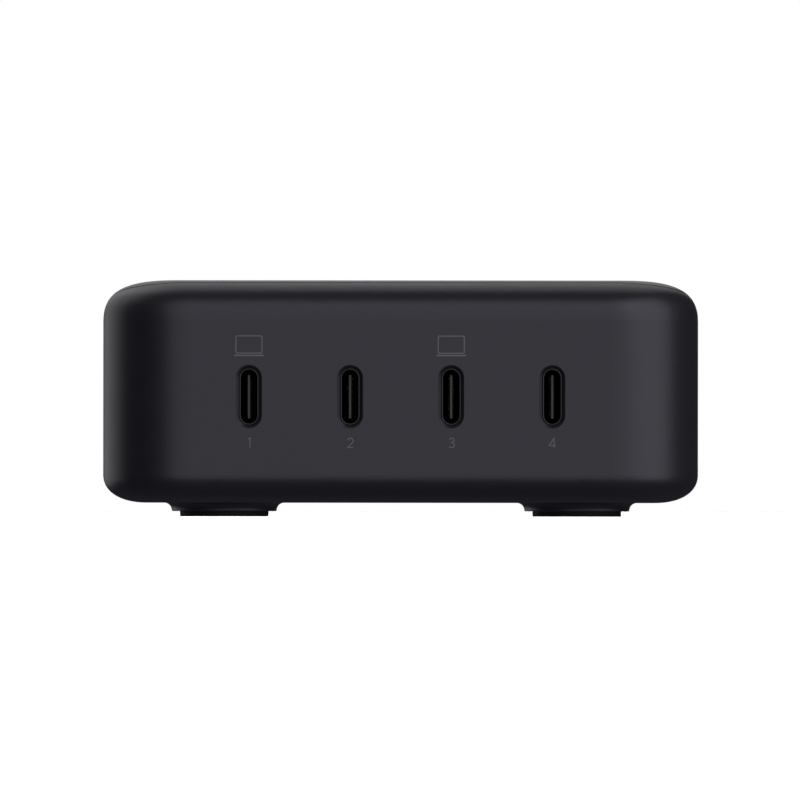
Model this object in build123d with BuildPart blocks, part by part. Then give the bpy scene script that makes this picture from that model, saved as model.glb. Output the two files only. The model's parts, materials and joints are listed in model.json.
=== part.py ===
"""Desktop charger with four upright USB-C outlets and a figure-eight mains inlet.

Millimetres, +Z up, the outlets face -Y, the origin is on the table under the middle of the case.
"""

import os

from build123d import *

# Case
body_width = 92.0
body_depth = 92.0
body_height = 34.4
corner_radius = 13.2
wall = 2.2

# Soft edges of the case: how far each reaches inward, how tall it is and how full its curve is
top_edge_reach = 10.9
top_edge_drop = 6.3
top_edge_fullness = 0.71
base_edge_reach = 6.7
base_edge_rise = 4.3
base_edge_fullness = 0.61

# Top cover
cover_side_inset = 1.0
cover_end_inset = 5.8
cover_corner = 10.0
cover_gap = 0.15
cover_skirt_drop = 4.2
shelf_thickness = 1.5
seam_round = 0.15
upright_tolerance = 0.001

# Feet
foot_inset = 18.6
pedestal_height = 1.3
pedestal_radius = 8.0
pedestal_draft = 0.15
pedestal_round = 0.15
pad_radius = 6.75
pad_stand = 0.8
pad_sink = 0.7
pad_gap = 0.1
pad_round = 0.15

# USB-C outlets
port_count = 4
port_pitch = 15.6
port_height = 16.38
socket_height = 8.34
socket_width = 2.56
shell_thickness = 0.2
shell_round = 0.08
shell_gap = 0.1
shell_recess = 0.45
shell_length = 7.6
mouth_bevel = 0.42
insulator_gap = 0.02
insulator_depth = 2.0
tongue_height = 6.69
tongue_thickness = 0.7
tongue_recess = 1.0
tongue_bevel = 0.2

# Mains inlet
pin_spacing = 8.6
pin_radius = 1.18
pin_length = 10.0
pin_tip_round = 0.8
pin_root_radius = 1.6
inlet_bore = 4.1
inlet_waist = 5.6
inlet_rim = 1.2
inlet_length = 18.0
inlet_cavity_depth = 14.0
inlet_gap = 0.15
inlet_recess = 0.2
lead_width = 1.6
lead_thickness = 1.0

# Boards and what holds them
board_thickness = 1.6
board_edge_gap = 1.2
board_corner = 9.0
boss_inset = 7.6
boss_height = 3.5
boss_radius = 3.0
boss_bore = 1.1
screw_hole = 1.4
screw_gap = 0.05
screw_head_radius = 2.2
screw_head_height = 1.6
screw_bite = 3.0
port_board_gap = 1.8
port_board_height = 20.0
film_thickness = 0.4
film_margin = 5.0
film_hole_gap = 0.3

# Circuit pieces, standing on the main board in rows from the outlets to the inlet
row_gap = 1.5
output_cap_radius = 3.25
output_cap_height = 11.0
choke_cube = 8.0
choke_cube_height = 5.5
bulk_cap_count = 3
bulk_cap_radius = 6.5
bulk_cap_height = 20.0
bulk_cap_pitch = 15.0
cap_round = 0.6
transformer_width = 26.0
transformer_depth = 11.0
transformer_limb = 4.0
inductor_width = 22.0
inductor_depth = 11.0
inductor_limb = 3.4
filter_width = 16.0
filter_depth = 7.0
filter_limb = 2.4
filter_height = 16.0
winding_gap = 0.1
film_cap_width = 18.0
film_cap_depth = 8.0
film_cap_height = 15.0
fuse_radius = 4.0
fuse_height = 8.0
rectifier_length = 20.0
rectifier_thickness = 4.0
rectifier_height = 17.0
side_row_inset = 9.0
switch_board_length = 22.0
switch_board_height = 18.0
switch_plate_thickness = 1.2
switch_plate_margin = 2.0

# Heat path to the top cover
spreader_thickness = 1.0
spreader_gap = 0.3
spreader_margin = 3.0
thermal_pad_thickness = 1.5
thermal_pad_margin = 1.0

# Levels and places that follow from the sizes above
base_z = pad_stand + pedestal_height
top_z = base_z + body_height
floor_z = base_z + wall
ledge_z = top_z - cover_skirt_drop
shelf_z = ledge_z - shelf_thickness
ceiling_z = top_z - wall
skirt_thickness = wall - cover_side_inset
pedestal_top_radius = pedestal_radius + pedestal_draft * pedestal_height
pedestal_flare = pedestal_height - pedestal_round
front_y = -body_depth / 2
rear_y = body_depth / 2
port_z = base_z + port_height
board_z = floor_z + boss_height
deck_z = board_z + board_thickness
board_width = body_width - 2 * (wall + board_edge_gap)
board_depth = body_depth - 2 * (wall + board_edge_gap)
boss_span_x = board_width - 2 * boss_inset
boss_span_y = board_depth - 2 * boss_inset
port_board_width = boss_span_x - 2 * (screw_head_radius + port_board_gap)
shell_height = socket_height + 2 * shell_thickness
shell_width = socket_width + 2 * shell_thickness
shell_y = front_y + shell_recess
port_board_y = shell_y + shell_length
inlet_y = rear_y - inlet_recess
inlet_back_y = inlet_y - inlet_length
inlet_height = 2 * (inlet_bore + inlet_rim)
inlet_z = deck_z + inlet_height / 2
inlet_half_width = (pin_spacing + inlet_height) / 2
spreader_z = ceiling_z - spreader_gap - spreader_thickness
core_height = spreader_z - thermal_pad_thickness - deck_z


def window_width(width, limb):
    """Width of each of the two windows of a core with a double-width middle limb."""
    return (width - 4 * limb) / 2


def wound_depth(width, depth, limb):
    """Depth of a core together with the winding that stands out on both sides."""
    return depth + 2 * (window_width(width, limb) - winding_gap)


output_cap_y = port_board_y + board_thickness + row_gap + output_cap_radius
choke_y = output_cap_y + output_cap_radius + row_gap + choke_cube / 2
magnetics_depth = wound_depth(transformer_width, transformer_depth, transformer_limb)
magnetics_y = choke_y + choke_cube / 2 + row_gap + magnetics_depth / 2
bulk_cap_y = magnetics_y + magnetics_depth / 2 + row_gap + bulk_cap_radius
filter_row_y = bulk_cap_y + bulk_cap_radius + row_gap
magnetics_span = inductor_width + row_gap + transformer_width
inductor_x = (inductor_width - magnetics_span) / 2
transformer_x = (magnetics_span - transformer_width) / 2
side_row_x = board_width / 2 - side_row_inset
beside_inlet_x = inlet_half_width + row_gap
film_cap_y = filter_row_y + film_cap_depth / 2
bulk_row_end = bulk_cap_pitch * (bulk_cap_count - 1) / 2 + bulk_cap_radius

port_x = [port_pitch * (place - (port_count - 1) / 2) for place in range(port_count)]
foot_x = body_width / 2 - foot_inset
foot_y = body_depth / 2 - foot_inset
foot_places = {
    "front_left": (-foot_x, -foot_y),
    "front_right": (foot_x, -foot_y),
    "rear_left": (-foot_x, foot_y),
    "rear_right": (foot_x, foot_y),
}

os.makedirs("parts", exist_ok=True)


def save(part, name):
    """Write one named piece to its own file."""
    part.label = name
    export_step(part, f"parts/{name}.step")


def half_section(reach):
    """Closed outline of the case from its upright middle line out to the given reach."""
    top_rest = 1 - top_edge_fullness
    base_rest = 1 - base_edge_fullness
    base_start = (reach - base_edge_reach, base_z)
    base_end = (reach, base_z + base_edge_rise)
    top_start = (reach, top_z - top_edge_drop)
    top_end = (reach - top_edge_reach, top_z)
    with BuildLine() as outline:
        Line((0, base_z), base_start)
        Bezier(
            base_start,
            (reach - base_edge_reach * base_rest, base_z),
            (reach, base_z + base_edge_rise * base_rest),
            base_end,
        )
        Line(base_end, top_start)
        Bezier(
            top_start,
            (reach, top_z - top_edge_drop * top_rest),
            (reach - top_edge_reach * top_rest, top_z),
            top_end,
        )
        Line(top_end, (0, top_z))
        Line((0, top_z), (0, base_z))
    make_face(outline.edges())


def seam_edges(faces):
    """Upper edges of the upright walls along the seam between case and cover."""
    upright = faces.filter_by(lambda face: abs(face.normal_at().Z) < upright_tolerance)
    return [face.edges().sort_by(Axis.Z)[-1] for face in upright]


# Solid block with the soft outer form, from which case and cover are both cut
with BuildPart() as corner_block:
    with BuildSketch(Plane.XZ):
        half_section(corner_radius)
    revolve(axis=Axis.Z, revolution_arc=90)

corner_x = body_width / 2 - corner_radius
corner_y = body_depth / 2 - corner_radius
with BuildPart() as soft_block:
    with BuildSketch(Plane.XZ):
        half_section(body_width / 2)
        mirror(about=Plane.YZ)
    extrude(amount=corner_y, both=True)
    with BuildSketch(Plane.YZ):
        half_section(body_depth / 2)
        mirror(about=Plane.YZ)
    extrude(amount=corner_x, both=True)
    with Locations((corner_x, corner_y)):
        add(corner_block.part)
    with Locations((-corner_x, corner_y)):
        add(corner_block.part, rotation=(0, 0, 90))
    with Locations((-corner_x, -corner_y)):
        add(corner_block.part, rotation=(0, 0, 180))
    with Locations((corner_x, -corner_y)):
        add(corner_block.part, rotation=(0, 0, 270))

# Room inside the case, up to the shelf that carries the cover
with BuildPart() as room:
    with BuildSketch(Plane.XY.offset(floor_z)):
        RectangleRounded(body_width - 2 * wall, body_depth - 2 * wall, corner_radius - wall)
    extrude(amount=shelf_z - floor_z)
    fillet(room.faces().sort_by(Axis.Z)[0].edges(), base_edge_rise - wall)

# One flared foot pedestal with the recess for its pad
with BuildPart() as pedestal:
    with BuildSketch(Plane.XZ) as pedestal_section:
        with BuildLine():
            Polyline(
                (0, pad_stand),
                (pedestal_radius, pad_stand),
                (pedestal_top_radius, base_z),
                (pedestal_top_radius + pedestal_height, base_z),
                (pedestal_top_radius + pedestal_height, floor_z),
                (0, floor_z),
                close=True,
            )
        make_face()
        fillet(pedestal_section.vertices().sort_by(Axis.X)[3], pedestal_flare)
        fillet(pedestal_section.vertices().sort_by(Axis.X)[2], pedestal_round)
    revolve(axis=Axis.Z)

# Case: front, sides, back and floor in one moulding
opening_width = body_width - 2 * cover_side_inset
opening_depth = body_depth - 2 * cover_end_inset
with BuildPart() as case:
    add(soft_block.part)
    add(room.part, mode=Mode.SUBTRACT)
    with BuildSketch(Plane.XY.offset(shelf_z)):
        RectangleRounded(
            opening_width - 2 * skirt_thickness,
            opening_depth - 2 * skirt_thickness,
            cover_corner - skirt_thickness,
        )
    extrude(amount=top_z - shelf_z, mode=Mode.SUBTRACT)
    with BuildSketch(Plane.XY.offset(ledge_z)):
        RectangleRounded(opening_width, opening_depth, cover_corner)
    extrude(amount=top_z - ledge_z, mode=Mode.SUBTRACT)
    fillet(seam_edges(case.faces(Select.LAST)), seam_round)
    with Locations(*foot_places.values()):
        add(pedestal.part)
    with BuildSketch(Plane.XY.offset(pad_stand)):
        with Locations(*foot_places.values()):
            Circle(pad_radius + pad_gap)
    extrude(amount=pad_sink, mode=Mode.SUBTRACT)
    with BuildSketch(Plane.XY.offset(floor_z)):
        with GridLocations(boss_span_x, boss_span_y, 2, 2):
            Circle(boss_radius)
            Circle(boss_bore, mode=Mode.SUBTRACT)
    extrude(amount=boss_height)
    with BuildSketch(Plane.XZ.offset(-front_y)):
        with Locations(*[(x, port_z) for x in port_x]):
            SlotOverall(shell_height + 2 * shell_gap, shell_width + 2 * shell_gap, rotation=90)
    extrude(amount=-wall, mode=Mode.SUBTRACT)
    chamfer(case.faces().sort_by(Axis.Y)[0].inner_wires().edges(), mouth_bevel)
    with BuildSketch(Plane.XZ.offset(-rear_y)):
        with Locations((0, inlet_z)):
            SlotCenterToCenter(pin_spacing, inlet_height + 2 * inlet_gap)
    extrude(amount=wall, mode=Mode.SUBTRACT)
save(case.part, "case")

# Top cover: a shallow tray that drops into the opening and stands on the shelf
cover_width = opening_width - 2 * cover_gap
cover_depth = opening_depth - 2 * cover_gap
with BuildPart() as cover:
    add(soft_block.part)
    with BuildSketch(Plane.XY.offset(ledge_z)):
        RectangleRounded(cover_width, cover_depth, cover_corner - cover_gap)
    extrude(amount=top_z - ledge_z, mode=Mode.INTERSECT)
    fillet(seam_edges(cover.faces()), seam_round)
    with BuildSketch(Plane.XY.offset(ledge_z)):
        RectangleRounded(
            cover_width - 2 * skirt_thickness,
            cover_depth - 2 * skirt_thickness,
            cover_corner - cover_gap - skirt_thickness,
        )
    extrude(amount=ceiling_z - ledge_z, mode=Mode.SUBTRACT)
save(cover.part, "top_cover")

# Rubber pads under the pedestals
for corner, place in foot_places.items():
    with BuildPart() as pad:
        with Locations(place):
            Cylinder(pad_radius, pad_stand + pad_sink, align=(Align.CENTER, Align.CENTER, Align.MIN))
        fillet(pad.faces().sort_by(Axis.Z)[0].edges(), pad_round)
    save(pad.part, f"foot_pad_{corner}")

# Metal shells and moulded tongues of the four outlets
for number, x in enumerate(port_x, start=1):
    with BuildPart() as shell:
        with BuildSketch(Plane.XZ.offset(-shell_y)):
            with Locations((x, port_z)):
                SlotOverall(shell_height, shell_width, rotation=90)
                SlotOverall(socket_height, socket_width, rotation=90, mode=Mode.SUBTRACT)
        extrude(amount=-shell_length)
        fillet(shell.faces().sort_by(Axis.Y)[0].edges(), shell_round)
    save(shell.part, f"usb_c_shell_{number}")

    with BuildPart() as tongue:
        with BuildSketch(Plane.XZ.offset(-port_board_y)):
            with Locations((x, port_z)):
                SlotOverall(socket_height - 2 * insulator_gap, socket_width - 2 * insulator_gap, rotation=90)
        extrude(amount=insulator_depth)
        with BuildSketch(Plane.XZ.offset(-port_board_y)):
            with Locations((x, port_z)):
                Rectangle(tongue_thickness, tongue_height)
        extrude(amount=shell_length - tongue_recess)
        tip = tongue.faces().sort_by(Axis.Y)[0]
        chamfer(tip.edges().filter_by(Axis.Z), tongue_bevel)
    save(tongue.part, f"usb_c_tongue_{number}")

# Mains inlet: moulded socket and its two round pins with leads down to the board
with BuildPart() as inlet:
    with BuildSketch(Plane.XZ.offset(-inlet_y)):
        with Locations((0, inlet_z)):
            SlotCenterToCenter(pin_spacing, inlet_height)
    extrude(amount=inlet_length)
    with BuildSketch(Plane.XZ.offset(-inlet_y)):
        with Locations((0, inlet_z)):
            Rectangle(pin_spacing, inlet_waist)
            with GridLocations(pin_spacing, 0, 2, 1):
                Circle(inlet_bore)
    extrude(amount=inlet_cavity_depth, mode=Mode.SUBTRACT)
    with BuildSketch(Plane.XZ.offset(-inlet_back_y)):
        with Locations((0, inlet_z)):
            with GridLocations(pin_spacing, 0, 2, 1):
                Circle(pin_root_radius)
    extrude(amount=-inlet_length, mode=Mode.SUBTRACT)
save(inlet.part, "mains_inlet")

pin_foot_y = inlet_y - inlet_cavity_depth
with BuildPart() as pins:
    with BuildSketch(Plane.XZ.offset(-pin_foot_y)):
        with Locations((0, inlet_z)):
            with GridLocations(pin_spacing, 0, 2, 1):
                Circle(pin_radius)
    extrude(amount=-pin_length)
    fillet(pins.faces().sort_by(Axis.Y)[-2:].edges(), pin_tip_round)
    with BuildSketch(Plane.XZ.offset(-pin_foot_y)):
        with Locations((0, inlet_z)):
            with GridLocations(pin_spacing, 0, 2, 1):
                Circle(pin_root_radius)
    extrude(amount=pin_foot_y - inlet_back_y)
    with BuildSketch(Plane.XZ.offset(-inlet_back_y)):
        with Locations((0, deck_z)):
            with GridLocations(pin_spacing, 0, 2, 1):
                Rectangle(lead_width, inlet_height / 2 + pin_radius, align=(Align.CENTER, Align.MIN))
    extrude(amount=lead_thickness)
save(pins.part, "mains_pins")

# Main board on its bosses, the upright outlet board and the screws
with BuildPart() as main_board:
    with BuildSketch(Plane.XY.offset(board_z)):
        RectangleRounded(board_width, board_depth, board_corner)
        with GridLocations(boss_span_x, boss_span_y, 2, 2):
            Circle(screw_hole, mode=Mode.SUBTRACT)
    extrude(amount=board_thickness)
save(main_board.part, "main_board")

with BuildPart() as port_board:
    with BuildSketch(Plane.XZ.offset(-port_board_y)):
        with Locations((0, deck_z)):
            Rectangle(port_board_width, port_board_height, align=(Align.CENTER, Align.MIN))
    extrude(amount=-board_thickness)
save(port_board.part, "outlet_board")

with BuildPart() as screws:
    with BuildSketch(Plane.XY.offset(deck_z)):
        with GridLocations(boss_span_x, boss_span_y, 2, 2):
            Circle(screw_head_radius)
    extrude(amount=screw_head_height)
    with BuildSketch(Plane.XY.offset(board_z - screw_bite)):
        with GridLocations(boss_span_x, boss_span_y, 2, 2):
            Circle(boss_bore - screw_gap)
    extrude(amount=board_thickness + screw_bite)
save(screws.part, "board_screws")

with BuildPart() as film:
    with BuildSketch(Plane.XY.offset(floor_z)):
        RectangleRounded(board_width - 2 * film_margin, board_depth - 2 * film_margin, board_corner)
        with GridLocations(boss_span_x, boss_span_y, 2, 2):
            Circle(boss_radius + film_hole_gap, mode=Mode.SUBTRACT)
    extrude(amount=film_thickness)
save(film.part, "insulating_film")


def standing_can(x, y, radius, height, name):
    """One round part standing on the main board, with a rounded top rim."""
    with BuildPart() as can:
        with Locations((x, y, deck_z)):
            Cylinder(radius, height, align=(Align.CENTER, Align.CENTER, Align.MIN))
        fillet(can.faces().sort_by(Axis.Z)[-1].edges(), cap_round)
    save(can.part, name)


def standing_block(x, y, width, depth, height, name):
    """One square part standing on the main board."""
    with BuildPart() as block:
        with BuildSketch(Plane.XY.offset(deck_z)):
            with Locations((x, y)):
                Rectangle(width, depth)
        extrude(amount=height)
    save(block.part, name)


def wound_core(x, y, width, depth, height, limb, name):
    """A ferrite core with two windows and the winding around its middle limb."""
    window = window_width(width, limb)
    window_x = limb + window / 2
    with BuildPart() as core:
        with BuildSketch(Plane.XZ.offset(depth / 2 - y)):
            with Locations((x, deck_z)):
                Rectangle(width, height, align=(Align.CENTER, Align.MIN))
            with Locations((x - window_x, deck_z + height / 2), (x + window_x, deck_z + height / 2)):
                Rectangle(window, height - 2 * limb, mode=Mode.SUBTRACT)
        extrude(amount=-depth)
    save(core.part, f"{name}_core")
    with BuildPart() as winding:
        with BuildSketch(Plane.XY.offset(deck_z + limb + winding_gap)):
            with Locations((x, y)):
                RectangleRounded(
                    2 * (limb + window - winding_gap), wound_depth(width, depth, limb), window - winding_gap
                )
                Rectangle(2 * (limb + winding_gap), depth + 2 * winding_gap, mode=Mode.SUBTRACT)
        extrude(amount=height - 2 * (limb + winding_gap))
    save(winding.part, f"{name}_winding")


# Circuit pieces
for number, x in enumerate(port_x, start=1):
    standing_can(x, output_cap_y, output_cap_radius, output_cap_height, f"output_capacitor_{number}")
    standing_block(x, choke_y, choke_cube, choke_cube, choke_cube_height, f"output_choke_{number}")
for number in range(1, bulk_cap_count + 1):
    cap_x = bulk_cap_pitch * (number - (bulk_cap_count + 1) / 2)
    standing_can(cap_x, bulk_cap_y, bulk_cap_radius, bulk_cap_height, f"bulk_capacitor_{number}")
wound_core(
    transformer_x,
    magnetics_y,
    transformer_width,
    transformer_depth,
    core_height,
    transformer_limb,
    "transformer",
)
wound_core(
    inductor_x,
    magnetics_y,
    inductor_width,
    inductor_depth,
    core_height,
    inductor_limb,
    "boost_inductor",
)
filter_total = wound_depth(filter_width, filter_depth, filter_limb)
wound_core(
    beside_inlet_x + filter_width / 2,
    filter_row_y + filter_total / 2,
    filter_width,
    filter_depth,
    filter_height,
    filter_limb,
    "mains_filter",
)
film_cap_x = -beside_inlet_x - film_cap_width / 2
standing_block(film_cap_x, film_cap_y, film_cap_width, film_cap_depth, film_cap_height, "film_capacitor")
fuse_x = -bulk_row_end - row_gap - fuse_radius
standing_can(fuse_x, bulk_cap_y, fuse_radius, fuse_height, "fuse")
standing_block(
    -side_row_x, magnetics_y, rectifier_thickness, rectifier_length, rectifier_height, "bridge_rectifier"
)
standing_block(
    side_row_x, magnetics_y, board_thickness, switch_board_length, switch_board_height, "switch_board"
)
plate_x = side_row_x + (board_thickness + switch_plate_thickness) / 2
plate_length = switch_board_length - 2 * switch_plate_margin
standing_block(
    plate_x, magnetics_y, switch_plate_thickness, plate_length, switch_board_height, "switch_heatsink"
)

# Thermal pads on the two tall cores and the metal spreader under the top cover
for x, width, depth, name in (
    (transformer_x, transformer_width, transformer_depth, "transformer"),
    (inductor_x, inductor_width, inductor_depth, "boost_inductor"),
):
    with BuildPart() as thermal_pad:
        with BuildSketch(Plane.XY.offset(deck_z + core_height)):
            with Locations((x, magnetics_y)):
                Rectangle(width - 2 * thermal_pad_margin, depth - 2 * thermal_pad_margin)
        extrude(amount=thermal_pad_thickness)
    save(thermal_pad.part, f"thermal_pad_{name}")

with BuildPart() as spreader:
    with BuildSketch(Plane.XY.offset(spreader_z)):
        with Locations((0, magnetics_y)):
            RectangleRounded(
                magnetics_span + 2 * spreader_margin, magnetics_depth + 2 * spreader_margin, spreader_margin
            )
    extrude(amount=spreader_thickness)
save(spreader.part, "heat_spreader")
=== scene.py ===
import json
import math

import bmesh
import bpy
from mathutils import Matrix, Vector


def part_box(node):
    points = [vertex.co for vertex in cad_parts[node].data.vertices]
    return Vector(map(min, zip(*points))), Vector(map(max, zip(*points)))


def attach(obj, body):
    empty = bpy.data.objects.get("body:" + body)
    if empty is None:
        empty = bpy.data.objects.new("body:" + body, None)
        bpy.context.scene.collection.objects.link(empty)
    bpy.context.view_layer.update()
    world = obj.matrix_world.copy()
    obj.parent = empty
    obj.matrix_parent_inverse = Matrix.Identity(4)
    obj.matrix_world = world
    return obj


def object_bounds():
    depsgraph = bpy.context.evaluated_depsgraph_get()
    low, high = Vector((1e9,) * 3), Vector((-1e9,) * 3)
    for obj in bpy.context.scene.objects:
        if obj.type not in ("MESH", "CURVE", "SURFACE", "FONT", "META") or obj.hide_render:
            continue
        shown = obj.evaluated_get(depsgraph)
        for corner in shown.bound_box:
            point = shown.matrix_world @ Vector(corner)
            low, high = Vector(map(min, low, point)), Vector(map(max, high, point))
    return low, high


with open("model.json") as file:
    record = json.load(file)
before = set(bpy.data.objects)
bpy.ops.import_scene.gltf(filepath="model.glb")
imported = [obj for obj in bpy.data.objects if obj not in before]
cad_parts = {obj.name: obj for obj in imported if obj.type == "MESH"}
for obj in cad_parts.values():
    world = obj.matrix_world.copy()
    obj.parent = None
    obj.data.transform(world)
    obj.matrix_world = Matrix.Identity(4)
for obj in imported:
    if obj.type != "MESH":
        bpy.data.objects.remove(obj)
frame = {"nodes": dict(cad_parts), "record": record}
cad_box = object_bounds()
MM = 0.001


# Materials: a fine grain varies colour and height, a broad one varies the roughness

grain_detail = 3
broad_grain = 25
roughness_swing = 0.03
grain_relief = 0.2


def map_range(tree, source, target):
    """A node that maps the two ends of source to the two ends of target."""
    made = tree.nodes.new("ShaderNodeMapRange")
    made.inputs["From Min"].default_value, made.inputs["From Max"].default_value = source
    made.inputs["To Min"].default_value, made.inputs["To Max"].default_value = target
    return made


def colour_mix(tree, first, second):
    """A node that mixes two colours."""
    made = tree.nodes.new("ShaderNodeMix")
    made.data_type = "RGBA"
    made.inputs["A"].default_value = (*first, 1)
    made.inputs["B"].default_value = (*second, 1)
    return made


def noise(tree, size):
    """A noise of this size in mm, fixed to the object."""
    place = tree.nodes.new("ShaderNodeTexCoord")
    made = tree.nodes.new("ShaderNodeTexNoise")
    made.inputs["Scale"].default_value = 1 / (size * MM)
    tree.links.new(place.outputs["Object"], made.inputs["Vector"])
    return made


def moulded(name, colour, roughness, grain, depth, mottle=0.12, metallic=0.0, specular=0.5, tint=(1, 1, 1)):
    """A surface with a fine grain of this size in mm, which varies its colour, roughness and height."""
    made = bpy.data.materials.new(name)
    made.use_nodes = True
    tree = made.node_tree
    shader = tree.nodes["Principled BSDF"]
    shader.inputs["Metallic"].default_value = metallic
    shader.inputs["Specular IOR Level"].default_value = specular
    shader.inputs["Specular Tint"].default_value = (*tint, 1)
    fine = noise(tree, grain)
    fine.inputs["Detail"].default_value = grain_detail
    broad = noise(tree, grain * broad_grain)
    darker = [channel * (1 - mottle) for channel in colour]
    lighter = [channel * (1 + mottle) for channel in colour]
    shade = colour_mix(tree, darker, lighter)
    sheen = map_range(tree, (0, 1), (roughness - roughness_swing, roughness + roughness_swing))
    bump = tree.nodes.new("ShaderNodeBump")
    bump.inputs["Strength"].default_value = depth
    bump.inputs["Distance"].default_value = grain * MM * grain_relief
    link = tree.links.new
    link(fine.outputs["Fac"], shade.inputs["Factor"])
    link(broad.outputs["Fac"], sheen.inputs["Value"])
    link(fine.outputs["Fac"], bump.inputs["Height"])
    link(shade.outputs["Result"], shader.inputs["Base Color"])
    link(sheen.outputs["Result"], shader.inputs["Roughness"])
    link(bump.outputs["Normal"], shader.inputs["Normal"])
    return made


def paint_shade_inward(material, shallow, deep, share):
    """Painted shade: darken a surface's colour along y, from its own colour at shallow to this share of it
    at deep.
    """
    tree = material.node_tree
    shader = tree.nodes["Principled BSDF"]
    place = tree.nodes.new("ShaderNodeTexCoord")
    split = tree.nodes.new("ShaderNodeSeparateXYZ")
    # painted shade: the colour's share falls along y from shallow to deep
    fade = map_range(tree, (shallow, deep), (1, share))
    dimmed = tree.nodes.new("ShaderNodeVectorMath")
    dimmed.operation = "SCALE"
    link = tree.links.new
    link(place.outputs["Object"], split.inputs["Vector"])
    link(split.outputs["Y"], fade.inputs["Value"])
    link(shader.inputs["Base Color"].links[0].from_socket, dimmed.inputs["Vector"])
    link(fade.outputs["Result"], dimmed.inputs["Scale"])
    link(dimmed.outputs["Vector"], shader.inputs["Base Color"])


# Each finish has its name, colour, roughness, size of grain in mm and depth of grain
case_tint = (1.0, 0.965, 1.14)
finishes = {
    "case_plastic": moulded("satin_case", (0.0122, 0.0118, 0.0142), 0.40, 0.16, 0.12, tint=case_tint),
    "foot_rubber": moulded("foot_rubber", (0.006, 0.006, 0.0066), 0.75, 0.2, 0.3, specular=0.25),
    "outlet_metal": moulded("dark_nickel", (0.05, 0.05, 0.053), 0.34, 0.1, 0.1, metallic=1.0),
    "outlet_plastic": moulded("black_tongue", (0.078, 0.078, 0.08), 0.5, 0.1, 0.1, specular=0.0),
    "inlet_plastic": moulded("inlet_plastic", (0.008, 0.008, 0.009), 0.5, 0.15, 0.15),
    "pin_brass": moulded("pin_brass", (0.62, 0.56, 0.42), 0.3, 0.1, 0.1, metallic=1.0),
    "board": moulded("board", (0.012, 0.07, 0.03), 0.45, 0.4, 0.1),
    "screw_steel": moulded("screw_steel", (0.42, 0.42, 0.43), 0.32, 0.1, 0.1, metallic=1.0),
    "film": moulded("insulating_film", (0.03, 0.03, 0.032), 0.35, 0.5, 0.05),
    "ferrite": moulded("ferrite", (0.035, 0.034, 0.034), 0.6, 0.15, 0.4),
    "winding": moulded("winding_tape", (0.55, 0.36, 0.03), 0.4, 0.6, 0.15),
    "can": moulded("capacitor_sleeve", (0.02, 0.025, 0.05), 0.35, 0.3, 0.05),
    "epoxy": moulded("black_epoxy", (0.02, 0.02, 0.02), 0.55, 0.15, 0.2),
    "capacitor_box": moulded("capacitor_box", (0.5, 0.4, 0.05), 0.45, 0.3, 0.1),
    "heat_metal": moulded("brushed_aluminium", (0.6, 0.6, 0.61), 0.35, 0.2, 0.1, metallic=1.0),
    "thermal_pad": moulded("thermal_pad", (0.32, 0.33, 0.36), 0.8, 0.4, 0.2),
}
ink = moulded("printed_ink", (0.114, 0.112, 0.122), 0.55, 0.05, 0.05)

# Painted shade: each tongue's colour is darkened behind its tip, so only the tip is pale and its sides look
# shaded
tip_depth = 0.002 * MM
full_shade_depth = 0.04 * MM
painted_shade_share = 0.04
tongue_tip_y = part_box("usb_c_tongue_1")[0].y
paint_shade_inward(finishes["outlet_plastic"], tongue_tip_y + tip_depth, tongue_tip_y + full_shade_depth, painted_shade_share)

slots = {part["node"]: part["material_slot"] for part in frame["record"]["subparts"]}
for name, node in frame["nodes"].items():
    node.data.materials.clear()
    node.data.materials.append(finishes[slots[name]])


# Printed marks on the front, placed from the middle of each outlet

front_y = cad_box[0].y
ink_thickness = 0.006 * MM
port_count = 4
ports = {}
for number in range(1, port_count + 1):
    low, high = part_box(f"usb_c_shell_{number}")
    ports[number] = ((low.x + high.x) / 2, (low.z + high.z) / 2)


def add_piece(name, form, finish):
    """Turn a finished form into a piece of the object."""
    bmesh.ops.recalc_face_normals(form, faces=form.faces)
    mesh = bpy.data.meshes.new(name)
    form.to_mesh(mesh)
    form.free()
    mesh.materials.append(finish)
    piece = bpy.data.objects.new(name, mesh)
    bpy.context.collection.objects.link(piece)
    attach(piece, "root")


def print_strip(form, left, right, closed=False, layers=1):
    """Add a thin slab of ink on the front face between two rails of (x, z) points."""
    rails = []
    for rail in (left, right):
        rails.append([form.verts.new((x, front_y + ink_thickness, z)) for x, z in rail])
    faces = []
    for here in range(len(left) if closed else len(left) - 1):
        after = (here + 1) % len(left)
        faces.append(form.faces.new((rails[0][here], rails[0][after], rails[1][after], rails[1][here])))
    grown = bmesh.ops.extrude_face_region(form, geom=faces)["geom"]
    moved = [part for part in grown if isinstance(part, bmesh.types.BMVert)]
    bmesh.ops.translate(form, verts=moved, vec=(0, -(1 + layers) * ink_thickness, 0))


def ribbon(path, width, closed=False):
    """Two rails, left and right of a path of (x, z) points, mitred at its corners."""
    points = [Vector(point) for point in path]
    left, right = [], []
    for place, here in enumerate(points):
        ways = []
        if place > 0 or closed:
            ways.append((here - points[place - 1]).normalized())
        if place + 1 < len(points) or closed:
            ways.append((points[(place + 1) % len(points)] - here).normalized())
        along = sum(ways, Vector((0, 0))).normalized()
        across = Vector((-along.y, along.x))
        reach = width / 2 / across.dot(Vector((-ways[0].y, ways[0].x)))
        left.append(here + across * reach)
        right.append(here - across * reach)
    return left, right


def arc(centre, radius_x, radius_z, start, end, steps=14):
    """Points along an ellipse, angles in degrees from +x."""
    turns = [math.radians(start + (end - start) * step / steps) for step in range(steps + 1)]
    return [(centre[0] + radius_x * math.cos(turn), centre[1] + radius_z * math.sin(turn)) for turn in turns]


digit_height = 1.45 * MM
digit_drop = 7.84 * MM
digit_stroke = 0.145 * MM


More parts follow.
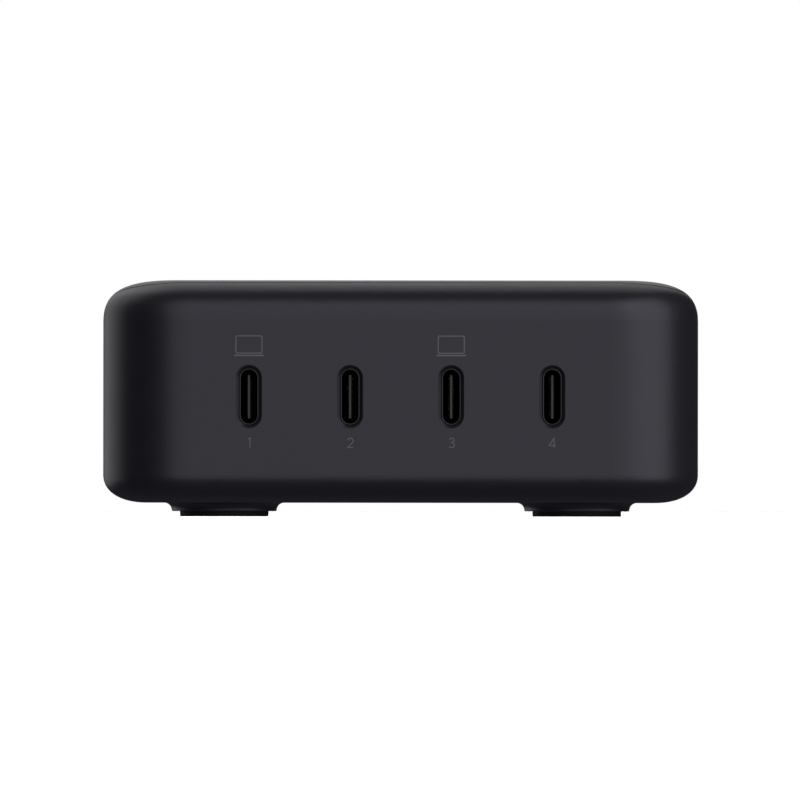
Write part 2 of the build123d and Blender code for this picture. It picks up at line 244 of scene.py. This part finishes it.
def print_digit(number, strokes):
    """One digit under its outlet; strokes that cross lie in layers of ink."""
    port_x, port_z = ports[number]
    form = bmesh.new()
    for layers, path in enumerate(strokes, start=1):
        placed = [(port_x + x * digit_height, port_z - digit_drop + z * digit_height) for x, z in path]
        print_strip(form, *ribbon(placed, digit_stroke), layers=layers)
    add_piece(f"printed_digit_{number}", form, ink)


# Strokes in a box of unit height, 0 at the foot, x from the middle of the outlet
upper_bowl_of_3 = arc((0.05, 0.765), 0.26, 0.235, 155, -90)
lower_bowl_of_3 = arc((0.04, 0.265), 0.31, 0.265, 90, -150)
print_digit(1, [[(-0.06, 0.89), (0.11, 1.0), (0.11, 0.0)]])
print_digit(2, [arc((0.04, 0.72), 0.29, 0.28, 165, -32) + [(-0.24, 0.0), (0.34, 0.0)]])
print_digit(3, [upper_bowl_of_3 + [(-0.06, 0.53)], lower_bowl_of_3])
print_digit(4, [[(0.19, 0.0), (0.19, 1.0)], [(0.16, 0.96), (-0.34, 0.24), (0.37, 0.24)]])

screen_width = 4.19 * MM
screen_height = 2.81 * MM
screen_rise = 8.03 * MM
screen_corner = 0.2 * MM
screen_line = 0.165 * MM
base_width = 4.75 * MM
base_taper = 0.19 * MM
base_foot = 6.24 * MM
base_height = 0.225 * MM


def print_laptop(number):
    """The outline of a laptop above an outlet: a rounded screen and the base under it."""
    port_x, port_z = ports[number]
    form = bmesh.new()
    half_x = (screen_width - screen_line) / 2 - screen_corner
    half_z = (screen_height - screen_line) / 2 - screen_corner
    outline = []
    for quarter, (side_x, side_z) in enumerate(((1, 1), (-1, 1), (-1, -1), (1, -1))):
        centre = (port_x + side_x * half_x, port_z + screen_rise + side_z * half_z)
        outline += arc(centre, screen_corner, screen_corner, 90 * quarter, 90 * quarter + 90, steps=6)
    print_strip(form, *ribbon(outline, screen_line, closed=True), closed=True)
    half_top = base_width / 2
    half_foot = base_width / 2 - base_taper
    foot_z = port_z + base_foot
    top_rail = [(port_x - half_top, foot_z + base_height), (port_x + half_top, foot_z + base_height)]
    foot_rail = [(port_x - half_foot, foot_z), (port_x + half_foot, foot_z)]
    print_strip(form, top_rail, foot_rail)
    add_piece(f"printed_laptop_{number}", form, ink)


print_laptop(1)
print_laptop(3)


# Contacts on both sides of each tongue

contact_count = 12
contact_pitch = 0.5 * MM
contact_size = Vector((0.01, 3.2, 0.26)) * MM
contact_setback = 1.1 * MM
tongue_half = 0.35 * MM


def add_contacts(number):
    """Two rows of thin contacts, set back from the tip of one tongue."""
    port_x, port_z = ports[number]
    middle_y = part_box(f"usb_c_tongue_{number}")[0].y + contact_setback + contact_size.y / 2
    form = bmesh.new()
    for side_x in (port_x - tongue_half, port_x + tongue_half):
        for place in range(contact_count):
            z = port_z + contact_pitch * (place - (contact_count - 1) / 2)
            placed = Matrix.LocRotScale(Vector((side_x, middle_y, z)), None, contact_size)
            bmesh.ops.create_cube(form, size=1, matrix=placed)
    add_piece(f"usb_c_contacts_{number}", form, finishes["pin_brass"])


for number in ports:
    add_contacts(number)


# Camera at the photograph's angle, its lens long enough that the view is almost parallel

picture_pixels = 800
pixels_per_metre = 6467
sensor_width = 36
camera_distance = 5.0
camera_reach = 20
camera_x = -0.00008
camera_height = 0.002
camera_roll = math.radians(-0.06)
aim_height = 0.01801
widest_y = -0.034

camera = bpy.data.cameras.new("photo_camera")
camera.sensor_width = sensor_width
camera.lens = pixels_per_metre * camera_distance * sensor_width / picture_pixels
camera.clip_end = camera_reach
viewer = bpy.data.objects.new("photo_camera", camera)
bpy.context.collection.objects.link(viewer)
stand = Vector((camera_x, widest_y - camera_distance, camera_height))
aim = Vector((camera_x, widest_y, aim_height))
facing = (aim - stand).to_track_quat("-Z", "Y").to_matrix().to_4x4()
viewer.matrix_world = Matrix.Translation(stand) @ Matrix.Rotation(camera_roll, 4, "Y") @ facing
bpy.context.scene.camera = viewer


# Stage: a pale floor and a white card behind the object

floor_size = (16, 16)
floor_colour = (0.86, 0.86, 0.86)
card_size = (1.0, 0.6)
card_place = (0, 3.0, 0.2)


def stage_sheet(name, size, material):
    """A flat stage piece."""
    half_x, half_y = size[0] / 2, size[1] / 2
    corners = [(-half_x, -half_y, 0), (half_x, -half_y, 0), (half_x, half_y, 0), (-half_x, half_y, 0)]
    mesh = bpy.data.meshes.new(name)
    mesh.from_pydata(corners, [], [(0, 1, 2, 3)])
    mesh.materials.append(material)
    sheet = bpy.data.objects.new(name, mesh)
    bpy.context.collection.objects.link(sheet)
    return sheet


def white_card(name):
    """White by itself where the camera, a reflection or a view through glass meets it, and no lamp."""
    made = bpy.data.materials.new(name)
    made.use_nodes = True
    tree = made.node_tree
    tree.nodes.clear()
    rays = tree.nodes.new("ShaderNodeLightPath")
    seen = tree.nodes.new("ShaderNodeMath")
    seen.operation = "MAXIMUM"
    seen_at_all = tree.nodes.new("ShaderNodeMath")
    seen_at_all.operation = "MAXIMUM"
    glow = tree.nodes.new("ShaderNodeEmission")
    surface = tree.nodes.new("ShaderNodeOutputMaterial")
    link = tree.links.new
    link(rays.outputs["Is Camera Ray"], seen.inputs[0])
    link(rays.outputs["Is Glossy Ray"], seen.inputs[1])
    link(seen.outputs["Value"], seen_at_all.inputs[0])
    link(rays.outputs["Is Transmission Ray"], seen_at_all.inputs[1])
    link(seen_at_all.outputs["Value"], glow.inputs["Strength"])
    link(glow.outputs["Emission"], surface.inputs["Surface"])
    return made


# The case has a dark surround below, so the floor stays out of reflections
floor_paint = moulded("floor_paint", floor_colour, 0.9, 2.0, 0.02, mottle=0.01, specular=0.0)
floor = stage_sheet("floor", floor_size, floor_paint)
floor.visible_glossy = False
floor.visible_diffuse = False
floor.visible_shadow = False

backdrop = stage_sheet("backdrop", card_size, white_card("backdrop_paint"))
backdrop.location = card_place
backdrop.rotation_euler = (math.radians(90), 0, 0)
backdrop.visible_shadow = False


# World: dim all round, a little lighter straight below

below_colour = (0.09, 0.09, 0.11)
round_colour = (0.032, 0.034, 0.045)
below_end = -0.9
round_end = -0.3

world = bpy.data.worlds.new("studio")
bpy.context.scene.world = world
world.use_nodes = True
sky = world.node_tree
direction = sky.nodes.new("ShaderNodeTexCoord")
upright = sky.nodes.new("ShaderNodeSeparateXYZ")
height = map_range(sky, (below_end, round_end), (0, 1))
surround = colour_mix(sky, below_colour, round_colour)
sky.links.new(direction.outputs["Generated"], upright.inputs["Vector"])
sky.links.new(upright.outputs["Z"], height.inputs["Value"])
sky.links.new(height.outputs["Result"], surround.inputs["Factor"])
sky.links.new(surround.outputs["Result"], sky.nodes["Background"].inputs["Color"])


# Soft lamps around the object, and one for the floor alone

lamp_distance = 1.2
lamp_target = Vector((0, 0, 0.018))


def panel(name, azimuth, elevation, size, level):
    """A soft lamp that faces the object; azimuth 0 is in front, 90 to the right, level is its brightness."""
    lamp = bpy.data.lights.new(name, "AREA")
    lamp.shape = "RECTANGLE"
    lamp.size, lamp.size_y = size
    lamp.energy = level * math.pi * size[0] * size[1]
    turn, lift = math.radians(azimuth), math.radians(elevation)
    away = Vector((math.sin(turn) * math.cos(lift), -math.cos(turn) * math.cos(lift), math.sin(lift)))
    shown = bpy.data.objects.new(name, lamp)
    shown.location = lamp_target + away * lamp_distance
    shown.rotation_euler = (-away).to_track_quat("-Z", "Y").to_euler()
    shown.visible_camera = False
    bpy.context.collection.objects.link(shown)


panel("front_lamp", 0, 20, (1.3, 1.9), 0.87)
panel("right_lamp", 53, 20, (1.3, 1.9), 1.35)
panel("left_rim_lamp", -130, 0, (1.1, 0.72), 0.70)
panel("left_corner_lamp", -131, 37, (0.95, 0.85), 0.76)
panel("top_rim_lamp", -175, 40, (1.0, 1.5), 0.63)

floor_light = bpy.data.lights.new("floor_lamp", "SUN")
floor_light.energy = 4.2
floor_light.angle = math.radians(25)
floor_lamp = bpy.data.objects.new("floor_lamp", floor_light)
floor_lamp.rotation_euler = (math.radians(-30), 0, 0)
bpy.context.collection.objects.link(floor_lamp)
floor_only = bpy.data.collections.new("floor_only")
floor_only.objects.link(floor)
floor_lamp.light_linking.receiver_collection = floor_only

bpy.context.scene.view_settings.view_transform = "Standard"
